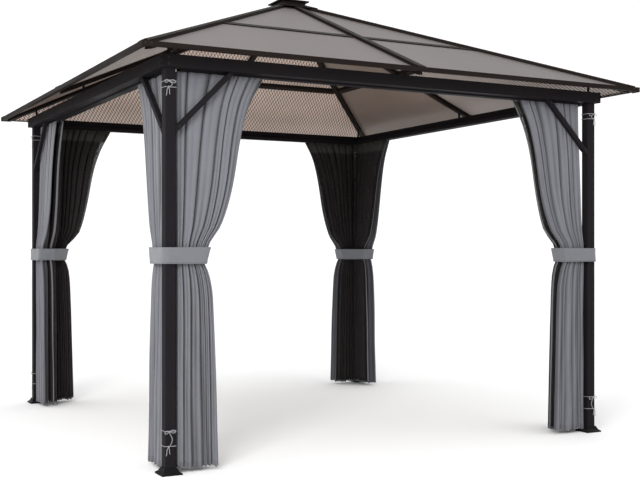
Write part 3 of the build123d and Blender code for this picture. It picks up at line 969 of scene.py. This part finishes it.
tie_pieces = []
for number, corner in enumerate(CORNERS.values()):
    dice = np.random.default_rng(700 + number)
    for upper, lower in RING_PAIRS.values():
        for height in (upper, lower):
            tie_pieces.append(cord_mesh("ring", ring_points(corner, height, dice), True))
            tie_pieces.append(cord_mesh("knot", on_face(corner, height, KNOT), True))
        for way in (0.75, -1.25):
            droop = dice.uniform(0.0, 0.35)
            ear = [
                (way * a, 0.0012 + 0.002 * (k % 2), b - droop * abs(way * a))
                for k, (a, b) in enumerate(BOW_EAR)
            ]
            tie_pieces.append(cord_mesh("bow_ear", on_face(corner, upper, ear), True))
        cross = [(side, 0.0008, (lower - upper) * share) for side, share in CROSS_STRAND]
        tie_pieces.append(cord_mesh("cross_strand", on_face(corner, upper, cross), False))
string_ties = join_as(tie_pieces, "string_tie_loops")
settle(string_ties, tie_cord_finish)
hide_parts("string_ties")
print("tie pieces joined:", len(tie_pieces), "faces", len(string_ties.data.polygons))

# %% Loose ends of the ties
# From the knot downwards: towards the outer corner, out from the post, and down.
TAIL_ROUTES = {
    "long": (
        (0.002, 0.002, 0.0), (0.006, 0.004, -0.007), (0.012, 0.004, -0.017),
        (0.010, 0.003, -0.030), (0.014, 0.002, -0.043),
    ),
    "short": (
        (-0.001, 0.002, 0.0), (0.002, 0.004, -0.008), (-0.003, 0.004, -0.017),
        (-0.001, 0.003, -0.027), (-0.005, 0.002, -0.036),
    ),
}


def spline_length(points, steps=200):
    """Length of an open quadratic spline: arcs that join in the middles of its legs."""
    controls = np.array(points)
    joints = (controls[1:] + controls[:-1]) / 2
    joints[[0, -1]] = controls[[0, -1]]
    shares = np.linspace(0, 1, steps)
    return sum(
        float(np.linalg.norm(np.diff(arc(*leg, shares), axis=0), axis=1).sum())
        for leg in zip(joints[:-1], controls[1:-1], joints[1:])
    )


tail_lengths = []
for corner_name, corner in CORNERS.items():
    for pair_name, (upper, lower) in RING_PAIRS.items():
        for tail_name, route in TAIL_ROUTES.items():
            points = on_face(corner, lower, route)
            length = spline_length(points)
            name = f"tie_end_{corner_name}_{pair_name}_{tail_name}"
            tail = cord_curve(name, points, closed=False, steps=6)
            tail.data.materials.append(tie_cord_finish)
            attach(tail, "root")
            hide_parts("string_ties")
            tail_lengths.append(round(1000 * length))
print("loose ends:", len(tail_lengths), "in lengths of", sorted(set(tail_lengths)), "mm")

# %% [markdown]
# ## Fasteners
# The frame is held by hexagon bolts with washers at the beams' corners, braces and hub,
# and by low pan-head screws along the roof's cover strips. One of each is modelled, and
# copies with their own mesh are set at every place, then joined.

# %% One bolt and one screw
def cylinder(vertices, radius, depth, height):
    """An upright cylinder on the Z axis, with its middle at the height."""
    bpy.ops.object.select_all(action="DESELECT")
    bpy.ops.mesh.primitive_cylinder_add(
        vertices=vertices, radius=radius, depth=depth, location=(0, 0, height)
    )
    return bpy.context.active_object


def hexagon_bolt():
    """A bolt head on a washer, standing on the XY plane."""
    washer = cylinder(20, 0.0088, 0.0014, 0.0007)
    head = cylinder(6, 0.0062, 0.0046, 0.0037)
    edit_all(bpy.ops.mesh.bevel, offset=0.0006, segments=1)
    return join_as([washer, head], "bolt_pattern")


def pan_screw():
    """A low round screw head with a recess, standing on the XY plane."""
    head = cylinder(14, 0.0048, 0.0016, 0.0008)
    bpy.ops.object.mode_set(mode="EDIT")
    bpy.ops.mesh.select_all(action="DESELECT")
    bpy.ops.object.mode_set(mode="OBJECT")
    for polygon in head.data.polygons:
        polygon.select = polygon.normal.z > 0.9
    bpy.ops.object.mode_set(mode="EDIT")
    bpy.ops.mesh.select_mode(type="FACE")
    for thickness, depth in ((0.0016, 0.0010), (0.0012, 0.0002), (0.0003, -0.0009)):
        bpy.ops.mesh.inset(thickness=thickness, depth=depth)
    bpy.ops.object.mode_set(mode="OBJECT")
    head.name = "screw_pattern"
    return head


def set_copies(pattern, places, name, finish):
    """Copies of the pattern at (place, outward direction), joined into one piece."""
    copies = []
    for place, outward in places:
        copy = pattern.copy()
        copy.data = pattern.data.copy()
        turn = Vector(outward).to_track_quat("Z", "Y").to_matrix().to_4x4()
        copy.data.transform(Matrix.Translation(Vector(place)) @ turn)
        copy.matrix_world = Matrix.Identity(4)
        bpy.context.scene.collection.objects.link(copy)
        copies.append(copy)
    joined = join_as(copies, name)
    settle(joined, finish)
    bpy.data.objects.remove(pattern)
    print(name, len(places), "placed,", len(joined.data.polygons), "faces")


def side_directions(angle):
    """Level directions out from a side and along it. The front is at 0."""
    sine, cosine = math.sin(math.radians(angle)), math.cos(math.radians(angle))
    return Vector((sine, -cosine, 0)), Vector((cosine, sine, 0))


UP = Vector((0, 0, 1))
print("patterns ready")

# %% Bolts
# Near one end of a side: distance out from the plan centre, distance along the side,
# height, and whether the head points outwards (1) or inwards (-1)
SIDE_BOLTS = (
    (1.349, 1.318, 1.928, 1), (1.349, 1.318, 1.956, 1),  # beam's corner
    (1.325, 1.256, 1.638, 1), (1.301, 1.256, 1.638, -1),  # brace, lower end
    (1.325, 1.000, 1.894, 1), (1.301, 1.000, 1.894, -1),  # brace, upper end
)
HUB_BOTTOM = 2.560
HUB_BOLT_REACH = 0.048

bolt_places = []
for angle in SIDES.values():
    outward, sideways = side_directions(angle)
    for way in (-1, 1):
        for out, along, height, facing in SIDE_BOLTS:
            spot = outward * out + sideways * way * along + UP * height
            bolt_places.append((spot, outward * facing))
for eighth in range(8):
    spot = side_directions(45 * eighth)[0] * HUB_BOLT_REACH + UP * HUB_BOTTOM
    bolt_places.append((spot, -UP))
set_copies(hexagon_bolt(), bolt_places, "hexagon_bolts", bolt_paint)

# %% Screws
PEAK = 2.644
PITCH = (PEAK - 1.994) / 1.5
HIP_PITCH = PITCH / math.sqrt(2)
HIP_SCREW_SIDE = 0.011  # from the hip's ridge to the screws on both sides
# On a slope: distance out, distance along, and height above the middle rafter's top line
SLOPE_SCREWS = (
    [(out, 0, 0) for out in (0.22, 0.52, 0.80, 0.88, 1.18, 1.482)]  # middle rafter
    + [(0.84, along, -0.012) for along in (-0.72, -0.42, -0.12, 0.12, 0.42, 0.72)]  # purlins
    + [(0.12, along, 0.006) for along in (-0.09, 0.09)]  # collar
)
RAIL_FACE, RAIL_MIDDLE = 1.502, 1.980

screw_places = []
for angle in SIDES.values():
    outward, sideways = side_directions(angle)
    slope_normal = (outward * PITCH + UP).normalized()
    for out, along, lift in SLOPE_SCREWS:
        spot = outward * out + sideways * along + UP * (PEAK - PITCH * out + lift)
        screw_places.append((spot, slope_normal))
    for along in (-1.456, -1.484, 1.456, 1.484):
        spot = outward * RAIL_FACE + sideways * along + UP * RAIL_MIDDLE
        screw_places.append((spot, outward))
for sx, sy in CORNERS.values():
    diagonal = Vector((sx, sy, 0)).normalized()
    hip_side = Vector((-diagonal.y, diagonal.x, 0))
    for reach in (0.30, 0.75, 1.14, 1.24, 1.60, 2.06):
        for way in (-1, 1):
            fall = hip_side * way * HIP_PITCH + diagonal * HIP_PITCH + UP
            spot = diagonal * reach + hip_side * way * HIP_SCREW_SIDE
            height = PEAK - HIP_PITCH * reach - HIP_PITCH * HIP_SCREW_SIDE
            screw_places.append((spot + UP * height, fall.normalized()))
set_copies(pan_screw(), screw_places, "pan_head_screws", bolt_paint)

# %% [markdown]
# ## Curtain gliders
# Each cloth hangs from small plastic gliders. A glider's foot slides in the track's
# channel, its neck passes the slot, and a ring below it takes the cloth's hook.

# %% Glider
glider_plastic, glider_tree, glider_shader = new_finish("glider_plastic", 0.4, specular=0.4)
glider_noise = noise_node(glider_tree, object_place(glider_tree), 60.0)
glider_tone = mix_colours(glider_tree, glider_noise, (0.30, 0.30, 0.30), (0.42, 0.42, 0.41))
glider_tree.links.new(glider_tone, glider_shader.inputs["Base Color"])
add_bump(glider_tree, glider_shader, glider_noise, 0.0001, 0.3)

TRACK_MOUTH = 1.904
CURTAIN_CHANNEL = 1.277
NETTING_CHANNEL = 1.257


def glider():
    """A glider with its ring, hanging from the height of the track's mouth at the origin."""
    bpy.ops.object.select_all(action="DESELECT")
    bpy.ops.mesh.primitive_cube_add(size=1, location=(0, 0, 0.0062))
    foot = bpy.context.active_object
    foot.scale = (0.009, 0.009, 0.0028)
    bpy.ops.object.transform_apply(location=True, rotation=True, scale=True)
    edit_all(bpy.ops.mesh.bevel, offset=0.0006, segments=1)
    neck = cylinder(6, 0.0012, 0.006, 0.0025)
    edit_all(bpy.ops.mesh.bevel, offset=0.0002, segments=1)
    bpy.ops.object.select_all(action="DESELECT")
    bpy.ops.mesh.primitive_torus_add(
        major_segments=10, minor_segments=4, major_radius=0.0026, minor_radius=0.0007,
        location=(0, 0, -0.0026), rotation=(math.radians(90), 0, 0),
    )
    ring = bpy.context.active_object
    bpy.ops.object.transform_apply(location=True, rotation=True, scale=True)
    return join_as([foot, neck, ring], "glider_pattern")


GLIDERS = 7  # on each half of a cloth
# Channel, then the nearest and the furthest glider from the post's centre
GLIDER_RUNS = ((CURTAIN_CHANNEL, 0.075, 0.47), (NETTING_CHANNEL, 0.11, 0.50))

glider_places = []
for angle in SIDES.values():
    outward, sideways = side_directions(angle)
    for channel, nearest, furthest in GLIDER_RUNS:
        for way in (-1, 1):
            for reach in np.linspace(nearest, furthest, GLIDERS):
                spot = outward * channel + sideways * way * (HALF_PITCH - float(reach))
                glider_places.append((spot + UP * TRACK_MOUTH, UP))
set_copies(glider(), glider_places, "curtain_gliders", glider_plastic)
